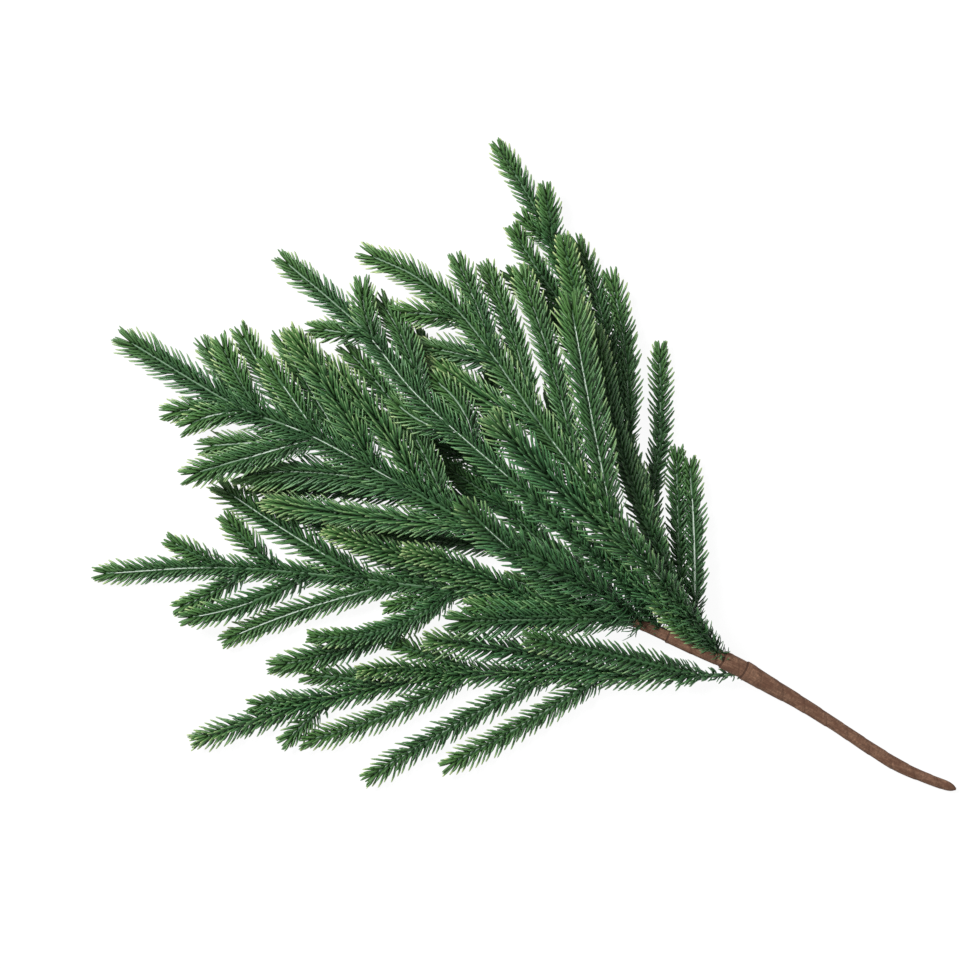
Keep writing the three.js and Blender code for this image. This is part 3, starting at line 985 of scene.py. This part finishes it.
class FIR_OT_twigs(bpy.types.Operator):
    """Set every twig that forks off a spine with needles"""

    bl_idname = "fir.twigs"
    bl_label = "Twigs"

    def execute(self, context):
        look = context.scene.fir_needles
        material = finish_named("fir_needles", needle_finish, look)
        for number, (spray, parts) in enumerate(SPRAYS.items()):
            path = Path(smooth_path(parts["spine"]) * MM)
            for k, fork in enumerate(parts["twigs"], 1):
                name = f"{spray}_twig_{k}"
                rng = np.random.default_rng([look.seed, number, k])
                fresh_and_shade = FRESH_AND_SHADE.get(name, 0) + rng.normal(0, FRESH_SPREAD)
                twig = forked_twig(path, fork, parts["girth"], name, fresh_and_shade)
                skin = lie_on_table(dressed_twig(twig, look, rng), NEEDLE_GIVE)
                make_piece(f"{name}_needles", skin, material, name)
        return {"FINISHED"}


# Half the table's width, and each lamp's place and width, all in metres
TABLE_REACH = 6.0
KEY_PLACE, KEY_WIDTH = (-1.1, 0.75, 1.7), 0.8
FILL_PLACE, FILL_WIDTH = (1.3, -0.7, 1.5), 1.6
# The point that the camera looks straight down on
VIEW_CENTRE = (-24.3 * MM, -11.7 * MM, 30 * MM)


class FIR_OT_stage(bpy.types.Operator):
    """Put a pale table under the branch, soft light round it and a camera above it"""

    bl_idname = "fir.stage"
    bl_label = "Stage"

    def execute(self, context):
        look = context.scene.fir_stage
        scene = context.scene
        table = bpy.data.meshes.new("table")
        corners = [(x * TABLE_REACH, y * TABLE_REACH, 0) for x, y in ((-1, -1), (1, -1), (1, 1), (-1, 1))]
        table.from_pydata(corners, [], [(0, 1, 2, 3)])
        finish = Finish("table_top", Roughness=0.9, Specular_IOR_Level=0.1, Base_Color=(*look.table, 1),
                        Emission_Color=(1, 1, 1, 1), Emission_Strength=look.table_glow)
        table.materials.append(finish.material)
        floor = bpy.data.objects.new("table", table)
        scene.collection.objects.link(floor)

        world = bpy.data.worlds.new("studio")
        world.use_nodes = True
        world.node_tree.nodes["Background"].inputs["Color"].default_value = (1, 1, 1, 1)
        world.node_tree.nodes["Background"].inputs["Strength"].default_value = look.ambient
        scene.world = world
        for name, place, power, width in (
            ("key", KEY_PLACE, look.key, KEY_WIDTH),
            ("fill", FILL_PLACE, look.fill, FILL_WIDTH),
        ):
            light = bpy.data.lights.new(name, "AREA")
            light.energy, light.size = power, width
            lamp = bpy.data.objects.new(name, light)
            lamp.location = place
            away = math.hypot(*place[:2])
            lamp.rotation_euler = (math.atan2(away, place[2]), 0, math.atan2(place[0], -place[1]))
            scene.collection.objects.link(lamp)
        scene.view_settings.view_transform = "Standard"

        camera = bpy.data.cameras.new("camera")
        camera.lens = look.lens
        watcher = bpy.data.objects.new("camera", camera)
        away = look.view_width * look.lens / camera.sensor_width
        x, y, z = VIEW_CENTRE
        watcher.location = (x, y, z + away)
        scene.collection.objects.link(watcher)
        scene.camera = watcher
        return {"FINISHED"}


class FIR_PT_panel(bpy.types.Panel):
    """The branch's pieces and their sizes"""

    bl_idname = "FIR_PT_panel"
    bl_label = "Fir Branch"
    bl_space_type = "VIEW_3D"
    bl_region_type = "UI"
    bl_category = "Fir Branch"

    def draw(self, context):
        for step in STEPS:
            self.layout.operator(step.bl_idname)
        for group in (context.scene.fir_needles, context.scene.fir_tape, context.scene.fir_stage):
            box = self.layout.box()
            for name in group.__annotations__:
                box.prop(group, name)


STEPS = (FIR_OT_stem, FIR_OT_spines, FIR_OT_twigs, FIR_OT_stage)
CLASSES = (FirNeedles, FirTape, FirStage, *STEPS, FIR_PT_panel)


def register():
    for cls in CLASSES:
        bpy.utils.register_class(cls)
    bpy.types.Scene.fir_needles = bpy.props.PointerProperty(type=FirNeedles)
    bpy.types.Scene.fir_tape = bpy.props.PointerProperty(type=FirTape)
    bpy.types.Scene.fir_stage = bpy.props.PointerProperty(type=FirStage)


def unregister():
    del bpy.types.Scene.fir_stage, bpy.types.Scene.fir_tape, bpy.types.Scene.fir_needles
    for cls in reversed(CLASSES):
        bpy.utils.unregister_class(cls)


def main():
    """Build the branch and its stage."""
    register()
    for step in (bpy.ops.fir.stem, bpy.ops.fir.spines, bpy.ops.fir.twigs, bpy.ops.fir.stage):
        step()


if __name__ == "__main__":
    main()
